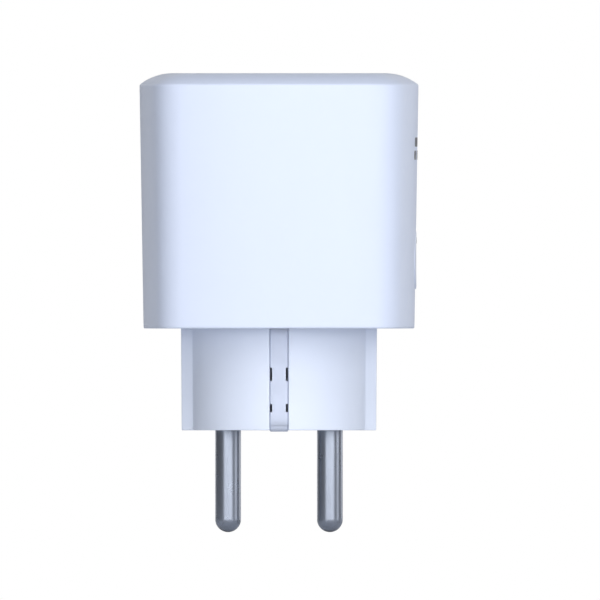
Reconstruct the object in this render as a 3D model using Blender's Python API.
"""Plug-in power meter: an earthed two-pin plug below, a matching recessed socket above.

Frame: +Z points away from the wall socket, the two pins lie along X, the earth contacts face
-Y (front) and +Y (back), and the push button is on the +X side. The origin is the centre of the
flat face that the pins stand out of. Every piece of the real assembly is an object of its own.
"""
import math

import bmesh
import bpy
from mathutils import Matrix, Vector

MM = 0.001
GAP = 0.3 * MM

# Heights of the whole assembly, from the pin face.
PIN_TIP_Z = -19.0 * MM
UNDERSIDE_Z = 19.0 * MM
RIM_Z = 64.5 * MM
TOP_Z = 66.65 * MM

# Plan of the housing at its rim: convex sides, rounded corners.
BODY_HALF = 26.03 * MM
SIDE_RADIUS = 64.0 * MM
CORNER_RADIUS = 7.8 * MM
DRAFT = 0.75 / 45.5
EDGE_ROUND = 0.35 * MM
CROWN_INSET = 6.2 * MM
CROWN_RADIUS = 10.0 * MM
SHELL_WALL = 1.8 * MM
MOUTH_RADIUS = 19.6 * MM

# Plug section below the housing.
LOBE_RADIUS = 16.9 * MM
SHOULDER_X = 18.3 * MM
SHOULDER_Y = 3.9 * MM
SHOULDER_CREASE_Y = 5.0 * MM
GUIDE_GROOVE_X = 16.3 * MM
GUIDE_GROOVE_Y = 2.75 * MM
EARTH_CHANNEL_HALF = 1.73 * MM
EARTH_CHANNEL_FLOOR = 15.4 * MM
PLUG_DRAFT_SCALE = 36.3 / 36.6
PLUG_CAVITY_RADIUS = 13.8 * MM
PLUG_FLOOR = 2.5 * MM
FLANGE_THICKNESS = 1.8 * MM

# Pins and the socket that repeats their layout.
PIN_X = 9.5 * MM
PIN_RADIUS = 2.4 * MM
PIN_NECK_RADIUS = 1.3 * MM
RECESS_RADIUS = 19.5 * MM
RECESS_DEPTH = 17.5 * MM
RECESS_FLOOR_Z = TOP_Z - RECESS_DEPTH
INSERT_WALL = 1.8 * MM
PIN_HOLE_RADIUS = 3.1 * MM

# Earth parts.
EARTH_STRIP_WIDTH = 2.8 * MM
EARTH_STRIP_THICKNESS = 0.8 * MM
EARTH_STRIP_FACE = 16.5 * MM
EARTH_LEG_Y = 18.6 * MM
EARTH_CLIP_WIDTH = 4.4 * MM
EARTH_CLIP_PIVOT_Z = 46.4 * MM

# Screws: four in the corners of the case, two that hold the contact carrier.
SCREW_XY = 16.9 * MM
SCREW_SHANK_RADIUS = 1.1 * MM
SCREW_HOLE_RADIUS = 1.4 * MM
SCREW_HEAD_RADIUS = 2.0 * MM
HOLDER_SCREW_Y = 11.0 * MM

# Circuit boards.
BOARD_Z = 23.0 * MM
BOARD_THICKNESS = 1.6 * MM
BOARD_HALF = 22.0 * MM
BOARD_CORNER_SUM = 29.8 * MM
PART_Z = BOARD_Z + BOARD_THICKNESS + GAP
CONTROL_BOARD_X = 18.0 * MM
CONTROL_BOARD_THICKNESS = 1.2 * MM

# Push button on the +X side.
BUTTON_Z = 31.85 * MM
BUTTON_RADIUS = 5.55 * MM
BUTTON_FACE_X = 25.65 * MM

# Finishes: base colour, roughness, metallic.
WHITE_SHELL = ((0.84, 0.88, 0.95), 0.38, 0.0)
WHITE_INSERT = ((0.80, 0.84, 0.91), 0.42, 0.0)
NICKEL = ((0.62, 0.63, 0.68), 0.22, 1.0)
SATIN_NICKEL = ((0.72, 0.74, 0.80), 0.35, 1.0)
BRASS = ((0.78, 0.60, 0.28), 0.30, 1.0)
COPPER = ((0.75, 0.42, 0.26), 0.32, 1.0)
STEEL = ((0.52, 0.53, 0.55), 0.30, 1.0)
BLACK_PLASTIC = ((0.03, 0.03, 0.035), 0.45, 0.0)
GREY_PLASTIC = ((0.35, 0.37, 0.40), 0.50, 0.0)
BOARD_GREEN = ((0.02, 0.20, 0.09), 0.45, 0.0)
BOARD_BLACK = ((0.02, 0.03, 0.03), 0.40, 0.0)
RELAY_BLUE = ((0.05, 0.22, 0.55), 0.40, 0.0)
FILM_YELLOW = ((0.85, 0.62, 0.08), 0.45, 0.0)
VARISTOR_BLUE = ((0.04, 0.12, 0.42), 0.40, 0.0)
FERRITE = ((0.06, 0.06, 0.065), 0.60, 0.0)
LED_CLEAR = ((0.85, 0.90, 0.82), 0.10, 0.0)


# ---------------------------------------------------------------------------------------------
# Modelling helpers
# ---------------------------------------------------------------------------------------------

def finish_material(name, finish):
    """Principled material of one piece."""
    color, roughness, metallic = finish
    mat = bpy.data.materials.new(name)
    mat.use_nodes = True
    shader = mat.node_tree.nodes["Principled BSDF"]
    shader.inputs["Base Color"].default_value = (*color, 1.0)
    shader.inputs["Roughness"].default_value = roughness
    shader.inputs["Metallic"].default_value = metallic
    mat.diffuse_color = (*color, 1.0)
    return mat


def add_piece(name, bm, finish, smooth=True):
    """Turn a bmesh into a named piece with its own material."""
    bmesh.ops.remove_doubles(bm, verts=bm.verts, dist=0.001 * MM)
    bmesh.ops.recalc_face_normals(bm, faces=bm.faces)
    mesh = bpy.data.meshes.new(name)
    bm.to_mesh(mesh)
    bm.free()
    mesh.materials.append(finish_material(name, finish))
    if smooth:
        mesh.shade_smooth()
        mesh.set_sharp_from_angle(angle=math.radians(30.0))
    piece = bpy.data.objects.new(name, mesh)
    bpy.context.scene.collection.objects.link(piece)
    return piece


def add_tool(name, bm):
    """Turn a bmesh into a hidden shape that only cuts or adds to a piece."""
    tool = add_piece(name, bm, GREY_PLASTIC, smooth=False)
    tool.hide_render = True
    tool.display_type = "WIRE"
    return tool


def combine(piece, tool, operation):
    """Boolean a tool into a piece."""
    modifier = piece.modifiers.new(tool.name, "BOOLEAN")
    modifier.operation = operation
    modifier.solver = "EXACT"
    modifier.object = tool


def box_into(bm, low, high):
    """Add an upright box, given by its lowest and highest corners."""
    low = Vector(low)
    high = Vector(high)
    size = high - low
    placing = Matrix.Translation((low + high) / 2) @ Matrix.Diagonal((*size, 1.0))
    bmesh.ops.create_cube(bm, size=1.0, matrix=placing)


def cylinder_into(bm, radius, start, end, segments=24, twist=0.0):
    """Add a cylinder that runs from one point to another, its facets turned by `twist`."""
    start = Vector(start)
    end = Vector(end)
    axis = end - start
    turn = axis.to_track_quat("Z", "Y").to_matrix().to_4x4()
    placing = Matrix.Translation((start + end) / 2) @ turn @ Matrix.Rotation(twist, 4, "Z")
    bmesh.ops.create_cone(bm, cap_ends=True, segments=segments, radius1=radius,
                          radius2=radius, depth=axis.length, matrix=placing)


def prism_into(bm, outline, bottom, top):
    """Extrude a closed outline of (x, y) points between two heights."""
    face = bm.faces.new([bm.verts.new((x, y, bottom)) for x, y in outline])
    grown = bmesh.ops.extrude_face_region(bm, geom=[face])
    raised = [item for item in grown["geom"] if isinstance(item, bmesh.types.BMVert)]
    bmesh.ops.translate(bm, verts=raised, vec=(0.0, 0.0, top - bottom))


def loft_into(bm, rings, closed):
    """Skin rings of equal count; the ends are capped, or joined when the loft is closed."""
    loops = [[bm.verts.new(point) for point in ring] for ring in rings]
    following = loops[1:] + loops[:1] if closed else loops[1:]
    for loop, next_loop in zip(loops, following):
        lower = zip(loop, loop[1:] + loop[:1])
        upper = zip(next_loop, next_loop[1:] + next_loop[:1])
        for (start, end), (above_start, above_end) in zip(lower, upper):
            bm.faces.new((start, end, above_end, above_start))
    if not closed:
        bm.faces.new(loops[0])
        bm.faces.new(loops[-1])


def turned_into(bm, profile, segments=32):
    """Turn a profile of (radius, height) points round the Z axis."""
    verts = [bm.verts.new((radius, 0.0, height)) for radius, height in profile]
    edges = [bm.edges.new(pair) for pair in zip(verts, verts[1:])]
    bmesh.ops.spin(bm, geom=verts + edges, cent=(0.0, 0.0, 0.0), axis=(0.0, 0.0, 1.0),
                   angle=math.tau, steps=segments, use_merge=True)


def turned_piece(name, profile, finish, segments=32):
    """A turned piece on the Z axis, moved into place by its location."""
    bm = bmesh.new()
    turned_into(bm, profile, segments)
    return add_piece(name, bm, finish)


def box_piece(name, low, high, finish, edge=0.0):
    """A box with bevelled edges, for a moulded case or a packaged component."""
    bm = bmesh.new()
    box_into(bm, low, high)
    if edge:
        bmesh.ops.bevel(bm, geom=bm.edges[:], offset=edge, segments=1, profile=0.5,
                        affect="EDGES", material=-1)
    return add_piece(name, bm, finish, smooth=False)


def centred_strip(name, path, width, thickness, across, finish):
    """Sheet metal folded along its mid-surface, given its thickness by a Solidify modifier."""
    across = Vector(across)
    bm = bmesh.new()
    verts = [bm.verts.new(Vector(point) - across * width / 2) for point in path]
    edges = [bm.edges.new(pair) for pair in zip(verts, verts[1:])]
    grown = bmesh.ops.extrude_edge_only(bm, edges=edges)
    moved = [item for item in grown["geom"] if isinstance(item, bmesh.types.BMVert)]
    bmesh.ops.translate(bm, verts=moved, vec=across * width)
    strip = add_piece(name, bm, finish, smooth=False)
    modifier = strip.modifiers.new("sheet", "SOLIDIFY")
    modifier.thickness = thickness
    modifier.offset = 0.0
    modifier.use_even_offset = True
    return strip


# ---------------------------------------------------------------------------------------------
# Outlines
# ---------------------------------------------------------------------------------------------

def corner_centre():
    """Distance of a corner arc's centre from both mid-planes, tangent to the side arcs."""
    reach = SIDE_RADIUS - BODY_HALF
    inner = SIDE_RADIUS - CORNER_RADIUS
    return (math.sqrt(2 * inner ** 2 - reach ** 2) - reach) / 2


def body_outline(inset):
    """Plan of the housing, moved inwards from the rim's plan; starts on the +X side."""
    centre = corner_centre()
    reach = SIDE_RADIUS - BODY_HALF
    half_angle = math.atan2(centre, centre + reach)
    side_steps = 6
    corner_steps = 6
    quarter = []
    for step in range(side_steps + 1):
        angle = half_angle * (2 * step / side_steps - 1)
        radius = SIDE_RADIUS - inset
        quarter.append((radius * math.cos(angle) - reach, radius * math.sin(angle)))
    for step in range(1, corner_steps):
        angle = half_angle + (math.pi / 2 - 2 * half_angle) * step / corner_steps
        radius = CORNER_RADIUS - inset
        quarter.append((centre + radius * math.cos(angle), centre + radius * math.sin(angle)))
    outline = []
    for turn in range(4):
        spun = Matrix.Rotation(turn * math.pi / 2, 2)
        outline += [tuple(spun @ Vector(point)) for point in quarter]
    return outline


def wall_inset(height):
    """Inset of the drafted side wall at a height below the rim."""
    return (RIM_Z - height) * DRAFT


def crown_height(inset):
    """Height of the crown, an arc that levels out at CROWN_INSET."""
    run = CROWN_INSET - inset
    return TOP_Z - (CROWN_RADIUS - math.sqrt(CROWN_RADIUS ** 2 - run ** 2))


def plug_outline():
    """Plan of the plug: two round lobes, sloping shoulders with guide grooves, earth channels."""
    lobe_start = math.asin(SHOULDER_CREASE_Y / LOBE_RADIUS)
    lobe_end = math.acos(EARTH_CHANNEL_HALF / LOBE_RADIUS)
    lobe_steps = 9
    quarter = [(GUIDE_GROOVE_X, GUIDE_GROOVE_Y), (SHOULDER_X, GUIDE_GROOVE_Y),
               (SHOULDER_X, SHOULDER_Y)]
    for step in range(lobe_steps + 1):
        angle = lobe_start + (lobe_end - lobe_start) * step / lobe_steps
        quarter.append((LOBE_RADIUS * math.cos(angle), LOBE_RADIUS * math.sin(angle)))
    quarter.append((EARTH_CHANNEL_HALF, EARTH_CHANNEL_FLOOR))
    left = [(-x, y) for x, y in reversed(quarter)]
    upper = quarter + left
    lower = [(-x, -y) for x, y in upper]
    return upper + lower


def four_corners(distance):
    """The four points at (+-distance, +-distance)."""
    return [(sx * distance, sy * distance) for sx in (-1, 1) for sy in (-1, 1)]


# ---------------------------------------------------------------------------------------------
# Housing shell and plug base
# ---------------------------------------------------------------------------------------------

def shell_rings():
    """Rings of the shell: up the outside, over the crown, through the mouth, down the inside."""
    crown_steps = 5
    insets = [CROWN_INSET * step / crown_steps for step in range(crown_steps + 1)]
    outer = [(wall_inset(UNDERSIDE_Z) + EDGE_ROUND, UNDERSIDE_Z),
             (wall_inset(UNDERSIDE_Z), UNDERSIDE_Z + EDGE_ROUND)]
    outer += [(inset, crown_height(inset)) for inset in insets]
    under_crown = [inset for inset in insets if inset > SHELL_WALL]
    inner = [(inset, crown_height(inset) - SHELL_WALL) for inset in reversed(under_crown)]
    inner.append((SHELL_WALL, crown_height(SHELL_WALL) - SHELL_WALL))
    inner.append((wall_inset(UNDERSIDE_Z) + SHELL_WALL, UNDERSIDE_Z))

    def ring(inset, height):
        return [(x, y, height) for x, y in body_outline(inset)]

    def mouth_ring(height):
        return [(*(Vector(point).normalized() * MOUTH_RADIUS), height)
                for point in body_outline(CROWN_INSET)]

    rings = [ring(*level) for level in outer]
    rings += [mouth_ring(TOP_Z), mouth_ring(TOP_Z - SHELL_WALL)]
    rings += [ring(*level) for level in inner]
    return rings


def build_housing_shell():
    """One-piece shell: four drafted walls and a crown round the socket mouth."""
    boss_radius = 2.4 * MM
    boss_bottom = 22.9 * MM
    boss_top = 38.0 * MM
    rib_reach = 20.2 * MM
    rib_half = 0.7 * MM
    hole_top = 32.0 * MM
    button_clearance = BUTTON_RADIUS + GAP

    bm = bmesh.new()
    loft_into(bm, shell_rings(), closed=True)
    shell = add_piece("housing_shell", bm, WHITE_SHELL)

    for index, (x, y) in enumerate(four_corners(SCREW_XY)):
        post = bmesh.new()
        cylinder_into(post, boss_radius, (x, y, boss_bottom), (x, y, boss_top), segments=16)
        combine(shell, add_tool(f"shell_post_{index}", post), "UNION")
        rib = bmesh.new()
        start = SCREW_XY * math.sqrt(2)
        end = rib_reach * math.sqrt(2)
        box_into(rib, (start, -rib_half, boss_bottom + MM), (end, rib_half, boss_top - MM))
        heading = math.atan2(y, x)
        bmesh.ops.rotate(rib, verts=rib.verts, cent=(0.0, 0.0, 0.0),
                         matrix=Matrix.Rotation(heading, 3, "Z"))
        combine(shell, add_tool(f"shell_rib_{index}", rib), "UNION")

    holes = bmesh.new()
    for x, y in four_corners(SCREW_XY):
        cylinder_into(holes, SCREW_HOLE_RADIUS, (x, y, boss_bottom - MM), (x, y, hole_top), 12)
    cylinder_into(holes, button_clearance, (BODY_HALF - 5 * MM, 0.0, BUTTON_Z),
                  (BODY_HALF + 2 * MM, 0.0, BUTTON_Z), 32, twist=math.pi / 32)
    combine(shell, add_tool("shell_holes", holes), "DIFFERENCE")


def build_plug_base():
    """Plug section and the flange that closes the shell from below, moulded in one."""
    flange_top = UNDERSIDE_Z + FLANGE_THICKNESS
    pad_radius = 3.2 * MM
    pad_top = 22.6 * MM
    pin_boss_radius = 4.0 * MM
    web_half = 0.8 * MM
    web_top = 16.0 * MM
    counterbore_radius = SCREW_HEAD_RADIUS + GAP
    counterbore_depth = 1.9 * MM
    face_notch_depth = 0.9 * MM
    face_notch_start = 12.2 * MM
    slot_inner = 13.2 * MM
    slot_half = EARTH_STRIP_WIDTH / 2
    slot_heights = ((3.4 * MM, 4.9 * MM), (9.2 * MM, 11.7 * MM))

    bm = bmesh.new()
    prism_into(bm, body_outline(wall_inset(UNDERSIDE_Z) + SHELL_WALL + GAP), UNDERSIDE_Z, flange_top)
    base = add_piece("plug_base", bm, WHITE_SHELL)

    plug = bmesh.new()
    outline = plug_outline()
    face_scale = PLUG_DRAFT_SCALE * (SHOULDER_X - EDGE_ROUND) / SHOULDER_X
    levels = ((face_scale, 0.0), (PLUG_DRAFT_SCALE, EDGE_ROUND), (1.0, UNDERSIDE_Z + MM))
    loft_into(plug, [[(x * scale, y * scale, z) for x, y in outline] for scale, z in levels], closed=False)
    combine(base, add_tool("plug_section", plug), "UNION")

    cavity = bmesh.new()
    cylinder_into(cavity, PLUG_CAVITY_RADIUS, (0.0, 0.0, PLUG_FLOOR), (0.0, 0.0, flange_top + MM), 40)
    combine(base, add_tool("plug_cavity", cavity), "DIFFERENCE")

    web = bmesh.new()
    box_into(web, (-PIN_X, -web_half, PLUG_FLOOR - MM), (PIN_X, web_half, web_top))
    combine(base, add_tool("plug_web", web), "UNION")

    bosses = bmesh.new()
    for side in (-1, 1):
        x = side * PIN_X
        cylinder_into(bosses, pin_boss_radius, (x, 0.0, PLUG_FLOOR - MM), (x, 0.0, flange_top), 24)
    for x, y in four_corners(SCREW_XY):
        cylinder_into(bosses, pad_radius, (x, y, flange_top - MM), (x, y, pad_top), 20)
    combine(base, add_tool("plug_bosses", bosses), "UNION")

    holes = bmesh.new()
    for side in (-1, 1):
        x = side * PIN_X
        cylinder_into(holes, PIN_RADIUS + GAP, (x, 0.0, -MM), (x, 0.0, flange_top + MM), 24)
    for x, y in four_corners(SCREW_XY):
        counterbore_top = UNDERSIDE_Z + counterbore_depth
        profile = [(0.0, UNDERSIDE_Z - MM), (counterbore_radius, UNDERSIDE_Z - MM),
                   (counterbore_radius, counterbore_top), (SCREW_HOLE_RADIUS, counterbore_top),
                   (SCREW_HOLE_RADIUS, pad_top + MM), (0.0, pad_top + MM)]
        screw_hole = bmesh.new()
        turned_into(screw_hole, profile, 20)
        bmesh.ops.translate(screw_hole, verts=screw_hole.verts, vec=(x, y, 0.0))
        step = bpy.data.meshes.new("screw_hole")
        screw_hole.to_mesh(step)
        screw_hole.free()
        holes.from_mesh(step)
        bpy.data.meshes.remove(step)
    combine(base, add_tool("base_holes", holes), "DIFFERENCE")

    slots = bmesh.new()
    for side in (-1, 1):
        near, far = sorted((side * EARTH_CHANNEL_FLOOR, side * (EARTH_STRIP_FACE + GAP)))
        box_into(slots, (-EARTH_CHANNEL_HALF, near, UNDERSIDE_Z - MM),
                 (EARTH_CHANNEL_HALF, far, flange_top + MM))
        near, far = sorted((side * face_notch_start, side * (LOBE_RADIUS + MM)))
        box_into(slots, (-EARTH_CHANNEL_HALF, near, -MM), (EARTH_CHANNEL_HALF, far, face_notch_depth))
        near, far = sorted((side * slot_inner, side * (EARTH_CHANNEL_FLOOR + GAP)))
        for bottom, top in slot_heights:
            box_into(slots, (-EARTH_CHANNEL_HALF, near, bottom), (-slot_half, far, top))
            box_into(slots, (slot_half, near, bottom), (EARTH_CHANNEL_HALF, far, top))
    combine(base, add_tool("earth_slots", slots), "DIFFERENCE")


def build_screw(name, place, head_bottom, head_height, shank_top, drive_radius):
    """Self-tapping screw, head down, with a hexagonal drive socket."""
    drive_depth = 0.8 * MM
    head_top = head_bottom + head_height
    profile = [(0.0, head_bottom), (SCREW_HEAD_RADIUS, head_bottom), (SCREW_HEAD_RADIUS, head_top),
               (SCREW_SHANK_RADIUS, head_top), (SCREW_SHANK_RADIUS, shank_top - MM),
               (0.0, shank_top)]
    screw = turned_piece(name, profile, STEEL, 12)
    drive = bmesh.new()
    cylinder_into(drive, drive_radius, (0.0, 0.0, head_bottom - MM),
                  (0.0, 0.0, head_bottom + drive_depth), 6)
    drive_tool = add_tool(f"{name}_drive", drive)
    drive_tool.parent = screw
    combine(screw, drive_tool, "DIFFERENCE")
    screw.location = (*place, 0.0)


def build_holder_screws():
    """Two screws that go up through the contact holder into the bosses under the recess."""
    head_bottom = 40.9 * MM
    head_height = 1.1 * MM
    tip = 47.6 * MM
    drive_radius = 1.0 * MM
    for number, y in enumerate((-HOLDER_SCREW_Y, HOLDER_SCREW_Y), start=1):
        build_screw(f"holder_screw_{number}", (0.0, y), head_bottom, head_height, tip, drive_radius)


def build_case_screws():
    """Four screws that go up through the flange into the posts in the shell's corners."""
    head_bottom = 19.25 * MM
    head_height = 1.3 * MM
    tip = 31.0 * MM
    drive_radius = 1.1 * MM
    for number, place in enumerate(four_corners(SCREW_XY), start=1):
        build_screw(f"case_screw_{number}", place, head_bottom, head_height, tip, drive_radius)


# ---------------------------------------------------------------------------------------------
# Pins, earth parts and socket
# ---------------------------------------------------------------------------------------------

def build_pin(name, x):
    """Turned pin with a round tip, a neck through the board and a riveted head."""
    tip_steps = 5
    shoulder = 21.0 * MM
    rivet_bottom = 26.0 * MM
    rivet_radius = 2.0 * MM
    rivet_top = 26.6 * MM
    profile = []
    for step in range(tip_steps + 1):
        angle = math.pi / 2 * step / tip_steps
        profile.append((PIN_RADIUS * math.sin(angle), PIN_TIP_Z + PIN_RADIUS * (1 - math.cos(angle))))
    profile += [(PIN_RADIUS, shoulder), (PIN_NECK_RADIUS, shoulder), (PIN_NECK_RADIUS, rivet_bottom),
                (rivet_radius, rivet_bottom), (rivet_radius, rivet_top), (0.0, rivet_top)]
    pin = turned_piece(name, profile, NICKEL, 24)
    pin.location = (x, 0.0, 0.0)


def build_earth_strip(name, side):
    """Earth strip in the plug's channel, hooked under the pin face at its lower end."""
    middle = side * (EARTH_STRIP_FACE - EARTH_STRIP_THICKNESS / 2)
    hook_z = -0.25 * MM + EARTH_STRIP_THICKNESS / 2
    path = [(0.0, middle, 21.1 * MM), (0.0, middle, 1.9 * MM),
            (0.0, side * 15.4 * MM, hook_z), (0.0, side * 12.6 * MM, hook_z)]
    centred_strip(name, path, EARTH_STRIP_WIDTH, EARTH_STRIP_THICKNESS, (1.0, 0.0, 0.0), SATIN_NICKEL)


def build_earth_bridge():
    """U-shaped stamping that joins the plug's earth strips to the socket's earth clips."""
    base_z = 21.8 * MM
    leg_top = 45.6 * MM
    path = [(0.0, -EARTH_LEG_Y, leg_top), (0.0, -EARTH_LEG_Y, base_z),
            (0.0, EARTH_LEG_Y, base_z), (0.0, EARTH_LEG_Y, leg_top)]
    centred_strip("earth_bridge", path, 4.0 * MM, 0.8 * MM, (1.0, 0.0, 0.0), BRASS)


def build_earth_clip(name, side):
    """Sprung earth leaf that stands in the recess and bows inwards; it tilts about its foot."""
    foot_y = 18.3 * MM
    leaf = [(foot_y, EARTH_CLIP_PIVOT_Z), (17.6 * MM, 49.4 * MM), (16.2 * MM, 54.0 * MM),
            (15.9 * MM, 56.0 * MM), (16.2 * MM, 58.0 * MM), (18.0 * MM, 61.6 * MM)]
    path = [(0.0, side * (y - foot_y), z - EARTH_CLIP_PIVOT_Z) for y, z in leaf]
    clip = centred_strip(name, path, EARTH_CLIP_WIDTH, 0.6 * MM, (1.0, 0.0, 0.0), SATIN_NICKEL)
    clip.location = (0.0, side * foot_y, EARTH_CLIP_PIVOT_Z)


def build_socket_insert():
    """Round recess for a plug: cup, guide ribs, pin holes and slots for the earth clips."""
    floor_bottom = RECESS_FLOOR_Z - INSERT_WALL
    cup_top = 64.4 * MM
    cup_radius = RECESS_RADIUS + INSERT_WALL
    rib_x = 16.9 * MM
    rib_half = 2.4 * MM
    rib_top = 62.0 * MM
    slot_half = 3.0 * MM
    slot_inner = 15.4 * MM
    slot_top = 62.6 * MM
    boss_radius = 2.3 * MM
    boss_bottom = 44.6 * MM

    profile = [(0.0, floor_bottom), (cup_radius, floor_bottom), (cup_radius, cup_top),
               (RECESS_RADIUS, cup_top), (RECESS_RADIUS, RECESS_FLOOR_Z), (0.0, RECESS_FLOOR_Z)]
    insert = turned_piece("socket_insert", profile, WHITE_INSERT, 48)

    ribs = bmesh.new()
    for side in (-1, 1):
        near, far = sorted((side * rib_x, side * (RECESS_RADIUS + MM)))
        box_into(ribs, (near, -rib_half, RECESS_FLOOR_Z - MM), (far, rib_half, rib_top))
        cylinder_into(ribs, boss_radius, (0.0, side * HOLDER_SCREW_Y, boss_bottom),
                      (0.0, side * HOLDER_SCREW_Y, floor_bottom + 0.5 * MM), 16)
    combine(insert, add_tool("insert_ribs", ribs), "UNION")

    holes = bmesh.new()
    for side in (-1, 1):
        cylinder_into(holes, PIN_HOLE_RADIUS, (side * PIN_X, 0.0, floor_bottom - MM),
                      (side * PIN_X, 0.0, RECESS_FLOOR_Z + MM), 24)
        cylinder_into(holes, SCREW_HOLE_RADIUS, (0.0, side * HOLDER_SCREW_Y, boss_bottom - MM),
                      (0.0, side * HOLDER_SCREW_Y, RECESS_FLOOR_Z - MM), 12)
        near, far = sorted((side * slot_inner, side * (cup_radius + MM)))
        box_into(holes, (-slot_half, near, floor_bottom - MM), (slot_half, far, slot_top))
    combine(insert, add_tool("insert_holes", holes), "DIFFERENCE")


def build_contact_holder():
    """Moulded carrier under the recess: two contact chambers and the shutter's pivot post."""
    top = 44.3 * MM
    plate_bottom = 42.3 * MM
    chamber_bottom = 28.5 * MM
    chamber_radius = 5.0 * MM
    chamber_bore = 4.2 * MM
    post_radius = 1.6 * MM
    post_top = 46.9 * MM
    bar_x = 15.5 * MM
    bar_y = 6.0 * MM
    ear_x = 3.2 * MM
    ear_y = 13.6 * MM

    quarter = [(bar_x, bar_y), (ear_x, bar_y), (ear_x, ear_y)]
    upper = quarter + [(-x, y) for x, y in reversed(quarter)]
    outline = upper + [(-x, -y) for x, y in upper]
    bm = bmesh.new()
    prism_into(bm, outline, plate_bottom, top)
    holder = add_piece("contact_holder", bm, GREY_PLASTIC)

    chambers = bmesh.new()
    for side in (-1, 1):
        cylinder_into(chambers, chamber_radius, (side * PIN_X, 0.0, chamber_bottom),
                      (side * PIN_X, 0.0, plate_bottom + MM), 24)
    cylinder_into(chambers, post_radius, (0.0, 0.0, top - MM), (0.0, 0.0, post_top), 16)
    combine(holder, add_tool("holder_chambers", chambers), "UNION")

    bores = bmesh.new()
    for side in (-1, 1):
        cylinder_into(bores, chamber_bore, (side * PIN_X, 0.0, chamber_bottom - MM),
                      (side * PIN_X, 0.0, top + MM), 24)
        cylinder_into(bores, SCREW_HOLE_RADIUS, (0.0, side * HOLDER_SCREW_Y, plate_bottom - MM),
                      (0.0, side * HOLDER_SCREW_Y, top + MM), 12)
    combine(holder, add_tool("holder_bores", bores), "DIFFERENCE")


def build_shutter():
    """Child-safety shutter: a hub with two wings that cover the pin holes until it turns."""
    bottom = 44.7 * MM
    top = 46.9 * MM
    hub_radius = 4.4 * MM
    hub_bore = 2.0 * MM
    pocket_radius = 3.5 * MM
    pocket_floor = 45.8 * MM
    wing_reach = 13.2 * MM
    wing_half_angle = math.radians(20.5)
    wing_steps = 6

    outline = []
    hub_half_angle = math.radians(60.0)
    for side in (0.0, math.pi):
        for step in range(wing_steps + 1):
            angle = side + wing_half_angle * (2 * step / wing_steps - 1)
            outline.append((wing_reach * math.cos(angle), wing_reach * math.sin(angle)))
        for step in range(wing_steps + 1):
            angle = side + math.pi / 2 + hub_half_angle * (2 * step / wing_steps - 1)
            outline.append((hub_radius * math.cos(angle), hub_radius * math.sin(angle)))
    bm = bmesh.new()
    prism_into(bm, outline, bottom, top)
    shutter = add_piece("shutter", bm, GREY_PLASTIC)
    bore = bmesh.new()
    turned_into(bore, [(0.0, bottom - MM), (hub_bore, bottom - MM), (hub_bore, pocket_floor),
                       (pocket_radius, pocket_floor), (pocket_radius, top + MM), (0.0, top + MM)], 20)
    combine(shutter, add_tool("shutter_bore", bore), "DIFFERENCE")


def build_shutter_spring():
    """Torsion spring of round wire, coiled round the shutter's pivot post."""
    coil_radius = 2.6 * MM
    wire_radius = 0.2 * MM
    pitch = 0.5 * MM
    turns = 1.25
    steps_a_turn = 16
    bottom = 46.32 * MM
    curve = bpy.data.curves.new("shutter_spring", "CURVE")
    curve.dimensions = "3D"
    curve.bevel_depth = wire_radius
    curve.bevel_resolution = 1
    curve.use_fill_caps = True
    spline = curve.splines.new("POLY")
    count = int(turns * steps_a_turn) + 1
    spline.points.add(count - 1)
    for index, point in enumerate(spline.points):
        angle = math.tau * index / steps_a_turn
        height = bottom + pitch * index / steps_a_turn
        point.co = (coil_radius * math.cos(angle), coil_radius * math.sin(angle), height, 1.0)
    curve.materials.append(finish_material("shutter_spring", STEEL))
    spring = bpy.data.objects.new("shutter_spring", curve)
    bpy.context.scene.collection.objects.link(spring)


def build_contact(name, x, tail_side):
    """Slit sleeve that grips an inserted pin, with a tail down to its bus bar."""
    bore = 2.6 * MM
    wall = 0.7 * MM
    bottom = 31.5 * MM
    top = 43.6 * MM
    slit_half = 0.5 * MM
    slit_bottom = 34.0 * MM
    tail_bottom = 26.0 * MM
    tail_half = 1.4 * MM

    profile = [(bore, bottom), (bore + wall, bottom), (bore + wall, top), (bore, top), (bore, bottom)]
    contact = turned_piece(name, profile, BRASS, 20)
    tail = bmesh.new()
    near, far = sorted((tail_side * (bore + 0.05 * MM), tail_side * (bore + wall - 0.05 * MM)))
    box_into(tail, (near, -tail_half, tail_bottom), (far, tail_half, bottom + MM))
    tail_tool = add_tool(f"{name}_tail", tail)
    tail_tool.parent = contact
    combine(contact, tail_tool, "UNION")
    slit = bmesh.new()
    reach = bore + wall + MM
    box_into(slit, (-slit_half, -reach, slit_bottom), (slit_half, reach, top + MM))
    slit_tool = add_tool(f"{name}_slit", slit)
    slit_tool.parent = contact
    combine(contact, slit_tool, "DIFFERENCE")
    contact.location = (x, 0.0, 0.0)


def build_bar(name, low_xy, high_xy, pin_x):
    """Flat bus bar on the main board, with a hole where a pin's neck is riveted through."""
    thickness = 0.8 * MM
    bm = bmesh.new()
    box_into(bm, (*low_xy, PART_Z), (*high_xy, PART_Z + thickness))
    bar = add_piece(name, bm, COPPER, smooth=False)
    if pin_x is not None:
        hole = bmesh.new()
        cylinder_into(hole, PIN_NECK_RADIUS + GAP, (pin_x, 0.0, PART_Z - MM),
                      (pin_x, 0.0, PART_Z + thickness + MM), 16)
        combine(bar, add_tool(f"{name}_hole", hole), "DIFFERENCE")


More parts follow.
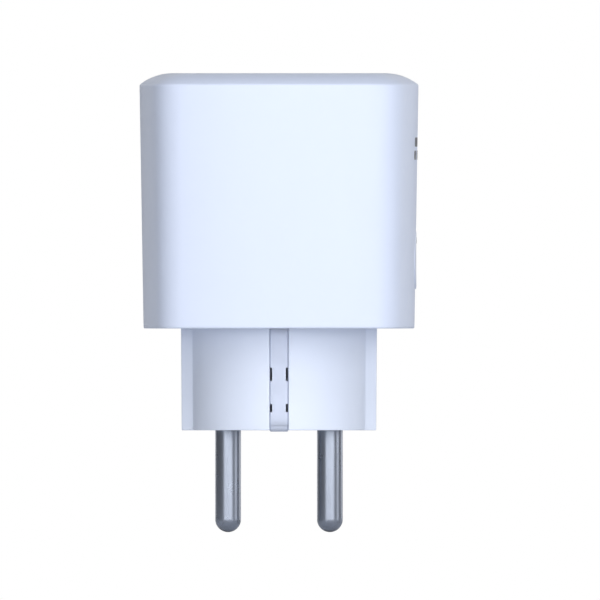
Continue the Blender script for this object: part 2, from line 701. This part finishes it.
def build_bus_bars():
    """Bars from the pins to the relay, and on to the socket contacts."""
    half_width = 2.4 * MM
    relay_side = 6.6 * MM
    live_low_x = -12.1 * MM
    live_high_x = -7.4 * MM
    neutral_low_x = 7.1 * MM
    neutral_high_x = 13.4 * MM
    switched_low_x = -7.0 * MM
    switched_high_x = -4.6 * MM
    switched_low_y = -1.6 * MM
    build_bar("live_bus_bar", (live_low_x, -half_width), (live_high_x, relay_side), -PIN_X)
    build_bar("neutral_bus_bar", (neutral_low_x, -half_width), (neutral_high_x, half_width), PIN_X)
    build_bar("switched_bus_bar", (switched_low_x, switched_low_y), (switched_high_x, relay_side),
              None)


# ---------------------------------------------------------------------------------------------
# Main board and what stands on it
# ---------------------------------------------------------------------------------------------

def build_main_board():
    """Power board: an octagon that clears the corner screws, notched for the earth legs."""
    corner = BOARD_CORNER_SUM - BOARD_HALF
    notch_half = 2.6 * MM
    notch_y = 17.8 * MM
    quarter = [(BOARD_HALF, corner), (corner, BOARD_HALF), (notch_half, BOARD_HALF), (notch_half, notch_y)]
    upper = quarter + [(-x, y) for x, y in reversed(quarter)]
    outline = upper + [(-x, -y) for x, y in upper]
    bm = bmesh.new()
    prism_into(bm, outline, BOARD_Z, BOARD_Z + BOARD_THICKNESS)
    board = add_piece("main_board", bm, BOARD_GREEN, smooth=False)
    holes = bmesh.new()
    for side in (-1, 1):
        cylinder_into(holes, PIN_NECK_RADIUS + GAP, (side * PIN_X, 0.0, BOARD_Z - MM),
                      (side * PIN_X, 0.0, BOARD_Z + BOARD_THICKNESS + MM), 16)
    combine(board, add_tool("board_holes", holes), "DIFFERENCE")


def build_relay():
    """Power relay: open-bottomed case, coil, yoke, pivoting armature and fixed contact."""
    centre_y = 12.1 * MM
    half_x = 10.2 * MM
    half_y = 5.0 * MM
    case_top = 40.5 * MM
    wall = 0.7 * MM
    coil_x = -3.0 * MM
    coil_bottom = 26.8 * MM
    coil_top = 35.6 * MM
    spool_radius = 3.8 * MM
    winding_radius = 3.2 * MM
    spool_rim = 0.7 * MM
    core_radius = 1.6 * MM
    core_top = 36.1 * MM
    leaf_width = 6.0 * MM
    leaf_thickness = 0.8 * MM
    yoke_x = 2.7 * MM
    yoke_far_x = -6.5 * MM
    yoke_bottom = 26.0 * MM
    yoke_top = 36.4 * MM
    arm_z = 37.4 * MM
    arm_far_x = -7.0 * MM
    arm_tail_x = 4.3 * MM
    arm_tail_bottom = 30.0 * MM
    contact_x = 5.8 * MM
    contact_width = 4.0 * MM
    contact_bottom = 25.5 * MM
    contact_top = 31.2 * MM
    armature_pivot = (yoke_x, centre_y, 36.9 * MM)

    case = box_piece("relay_case", (-half_x, centre_y - half_y, PART_Z),
                     (half_x, centre_y + half_y, case_top), RELAY_BLUE)
    hollow = bmesh.new()
    box_into(hollow, (-half_x + wall, centre_y - half_y + wall, PART_Z - MM),
             (half_x - wall, centre_y + half_y - wall, case_top - wall))
    combine(case, add_tool("relay_hollow", hollow), "DIFFERENCE")

    spool = [(0.0, coil_bottom), (spool_radius, coil_bottom), (spool_radius, coil_bottom + spool_rim),
             (winding_radius, coil_bottom + spool_rim), (winding_radius, coil_top - spool_rim),
             (spool_radius, coil_top - spool_rim), (spool_radius, coil_top),
             (core_radius, coil_top), (core_radius, core_top), (0.0, core_top)]
    coil = turned_piece("relay_coil", spool, COPPER, 20)
    coil.location = (coil_x, centre_y, 0.0)

    along_y = (0.0, 1.0, 0.0)
    centred_strip("relay_yoke", [(yoke_far_x, centre_y, yoke_bottom), (yoke_x, centre_y, yoke_bottom),
                                 (yoke_x, centre_y, yoke_top)],
                  leaf_width, leaf_thickness, along_y, STEEL)
    arm = [Vector((arm_far_x, centre_y, arm_z)), Vector((arm_tail_x, centre_y, arm_z)),
           Vector((arm_tail_x, centre_y, arm_tail_bottom))]
    pivot = Vector(armature_pivot)
    armature = centred_strip("relay_armature", [point - pivot for point in arm], leaf_width,
                             leaf_thickness, along_y, STEEL)
    armature.location = armature_pivot
    centred_strip("relay_contact", [(contact_x, centre_y, contact_bottom),
                                    (contact_x, centre_y, contact_top)],
                  contact_width, leaf_thickness, along_y, COPPER)


def build_power_supply():
    """Parts of the small mains supply that stand on the main board."""
    transformer_low = Vector((-13.7 * MM, -16.8 * MM, PART_Z))
    transformer_high = Vector((-2.9 * MM, -7.4 * MM, 35.4 * MM))
    box_piece("transformer", transformer_low, transformer_high, FERRITE, 0.5 * MM)

    groove = 0.35 * MM
    groove_z = PART_Z + 1.2 * MM
    cans = (("capacitor_high_voltage", 4.0 * MM, 36.9 * MM, (2.9 * MM, -12.3 * MM)),
            ("capacitor_low_voltage", 3.15 * MM, 33.9 * MM, (11.0 * MM, -11.6 * MM)))
    for name, radius, top, (x, y) in cans:
        profile = [(0.0, PART_Z), (radius, PART_Z), (radius, groove_z),
                   (radius - groove, groove_z + groove), (radius, groove_z + 2 * groove),
                   (radius, top - groove), (radius - groove, top), (0.0, top)]
        can = turned_piece(name, profile, BLACK_PLASTIC, 20)
        can.location = (x, y, 0.0)

    film_low = Vector((-19.9 * MM, -6.0 * MM, PART_Z))
    film_high = Vector((-15.3 * MM, 6.0 * MM, 34.9 * MM))
    box_piece("film_capacitor", film_low, film_high, FILM_YELLOW, 0.4 * MM)

    disc_radius = 3.6 * MM
    disc_centre = Vector((-13.4 * MM, 10.9 * MM, PART_Z + disc_radius))
    disc_half = Vector((1.6 * MM, 0.0, 0.0))
    disc = bmesh.new()
    cylinder_into(disc, disc_radius, disc_centre - disc_half, disc_centre + disc_half, 24)
    add_piece("varistor", disc, VARISTOR_BLUE)

    drum_radius = 3.0 * MM
    drum_core = 2.4 * MM
    drum_rim = 1.2 * MM
    drum_height = 8.0 * MM
    drum = [(0.0, 0.0), (drum_radius, 0.0), (drum_radius, drum_rim), (drum_core, drum_rim),
            (drum_core, drum_height - drum_rim), (drum_radius, drum_height - drum_rim),
            (drum_radius, drum_height), (0.0, drum_height)]
    choke = turned_piece("choke", drum, FERRITE, 20)
    choke.location = (14.0 * MM, 11.4 * MM, PART_Z)

    fuse_radius = 1.5 * MM
    fuse_cap_radius = 1.1 * MM
    fuse_cap = 0.5 * MM
    fuse_height = 8.0 * MM
    body = [(0.0, 0.0), (fuse_cap_radius, 0.0), (fuse_radius, fuse_cap),
            (fuse_radius, fuse_height - fuse_cap), (fuse_cap_radius, fuse_height), (0.0, fuse_height)]
    fuse = turned_piece("fuse_resistor", body, GREY_PLASTIC, 16)
    fuse.location = (-17.6 * MM, -9.4 * MM, PART_Z)

    rectifier_low = Vector((-2.4 * MM, 2.8 * MM, PART_Z))
    rectifier_high = Vector((2.4 * MM, 6.6 * MM, 27.4 * MM))
    box_piece("bridge_rectifier", rectifier_low, rectifier_high, BLACK_PLASTIC, 0.25 * MM)


def build_metering():
    """Shunt in the switched live path and the chip that measures across it."""
    arch_low = PART_Z + 0.4 * MM
    arch_high = 27.3 * MM
    foot_x = 3.8 * MM
    knee_x = 2.8 * MM
    arch = [(-foot_x, 0.0, arch_low), (-knee_x, 0.0, arch_high), (knee_x, 0.0, arch_high),
            (foot_x, 0.0, arch_low)]
    centred_strip("current_shunt", arch, 3.0 * MM, 0.8 * MM, (0.0, 1.0, 0.0), COPPER)
    chip_low = Vector((-4.5 * MM, -6.4 * MM, PART_Z))
    chip_high = Vector((4.5 * MM, -2.4 * MM, 26.6 * MM))
    box_piece("metering_chip", chip_low, chip_high, BLACK_PLASTIC, 0.25 * MM)


# ---------------------------------------------------------------------------------------------
# Control board, radio and button
# ---------------------------------------------------------------------------------------------

def build_control_board():
    """Upright board behind the button wall, with the radio on its inner side."""
    back = CONTROL_BOARD_X
    front = CONTROL_BOARD_X + CONTROL_BOARD_THICKNESS
    board_half = 12.0 * MM
    board_bottom = 25.0 * MM
    board_top = 43.0 * MM
    box_piece("control_board", (back, -board_half, board_bottom), (front, board_half, board_top),
              BOARD_BLACK)

    radio_half = 7.0 * MM
    radio_bottom = 26.0 * MM
    radio_top = 44.5 * MM
    radio_front = back - GAP
    radio_back = radio_front - 0.8 * MM
    box_piece("radio_board", (radio_back, -radio_half, radio_bottom),
              (radio_front, radio_half, radio_top), BOARD_BLACK)

    shield_half = 6.2 * MM
    shield_x = 14.8 * MM
    shield_bottom = 26.8 * MM
    shield_top = 38.5 * MM
    box_piece("radio_shield", (shield_x, -shield_half, shield_bottom),
              (radio_back - GAP, shield_half, shield_top), SATIN_NICKEL, 0.3 * MM)

    led_half = 0.9 * MM
    led_bottom = 35.6 * MM
    led_top = 36.7 * MM
    box_piece("status_led", (front + GAP, -led_half, led_bottom),
              (front + GAP + MM, led_half, led_top), LED_CLEAR)


def build_switch_and_button():
    """Tact switch, its plunger, and the round button cap that presses it."""
    board_face = CONTROL_BOARD_X + CONTROL_BOARD_THICKNESS
    switch_low = board_face + GAP
    switch_high = 21.4 * MM
    switch_half = 3.0 * MM
    plunger_radius = 1.6 * MM
    plunger_low = 20.1 * MM
    plunger_high = 21.9 * MM
    flange_radius = 6.3 * MM
    flange_low = plunger_high + GAP
    flange_high = 22.9 * MM
    dome = 0.12 * MM

    switch = box_piece("tact_switch", (switch_low, -switch_half, BUTTON_Z - switch_half),
                       (switch_high, switch_half, BUTTON_Z + switch_half), BLACK_PLASTIC)
    bore = bmesh.new()
    cylinder_into(bore, plunger_radius + GAP, (switch_low - MM, 0.0, BUTTON_Z),
                  (switch_high + MM, 0.0, BUTTON_Z), 16)
    combine(switch, add_tool("switch_bore", bore), "DIFFERENCE")

    lay_along_x = (0.0, math.pi / 2, 0.0)
    plunger_length = plunger_high - plunger_low
    plunger = turned_piece("switch_plunger", [(0.0, 0.0), (plunger_radius, 0.0),
                                              (plunger_radius, plunger_length), (0.0, plunger_length)],
                           BLACK_PLASTIC, 16)
    plunger.location = (plunger_low, 0.0, BUTTON_Z)
    plunger.rotation_euler = lay_along_x

    face = BUTTON_FACE_X - flange_low
    collar = flange_high - flange_low
    profile = [(0.0, 0.0), (flange_radius, 0.0), (flange_radius, collar), (BUTTON_RADIUS, collar),
               (BUTTON_RADIUS, face - 2 * dome), (BUTTON_RADIUS - dome, face - dome), (0.0, face)]
    cap = turned_piece("button_cap", profile, WHITE_SHELL, 32)
    cap.location = (flange_low, 0.0, BUTTON_Z)
    cap.rotation_euler = lay_along_x


# ---------------------------------------------------------------------------------------------
# Assembly
# ---------------------------------------------------------------------------------------------

def clear_scene():
    """Remove every object that is already in the file."""
    for old in list(bpy.data.objects):
        bpy.data.objects.remove(old, do_unlink=True)


def build_assembly():
    """Build every piece in the order in which the product is put together."""
    build_plug_base()
    build_pin("pin_live", -PIN_X)
    build_pin("pin_neutral", PIN_X)
    build_earth_strip("earth_strip_front", -1)
    build_earth_strip("earth_strip_back", 1)
    build_earth_bridge()
    build_main_board()
    build_bus_bars()
    build_relay()
    build_power_supply()
    build_metering()
    build_control_board()
    build_switch_and_button()
    build_contact("contact_live", -PIN_X, 1)
    build_contact("contact_neutral", PIN_X, 1)
    build_contact_holder()
    build_shutter()
    build_shutter_spring()
    build_socket_insert()
    build_earth_clip("earth_clip_front", -1)
    build_earth_clip("earth_clip_back", 1)
    build_holder_screws()
    build_housing_shell()
    build_case_screws()


clear_scene()
build_assembly()
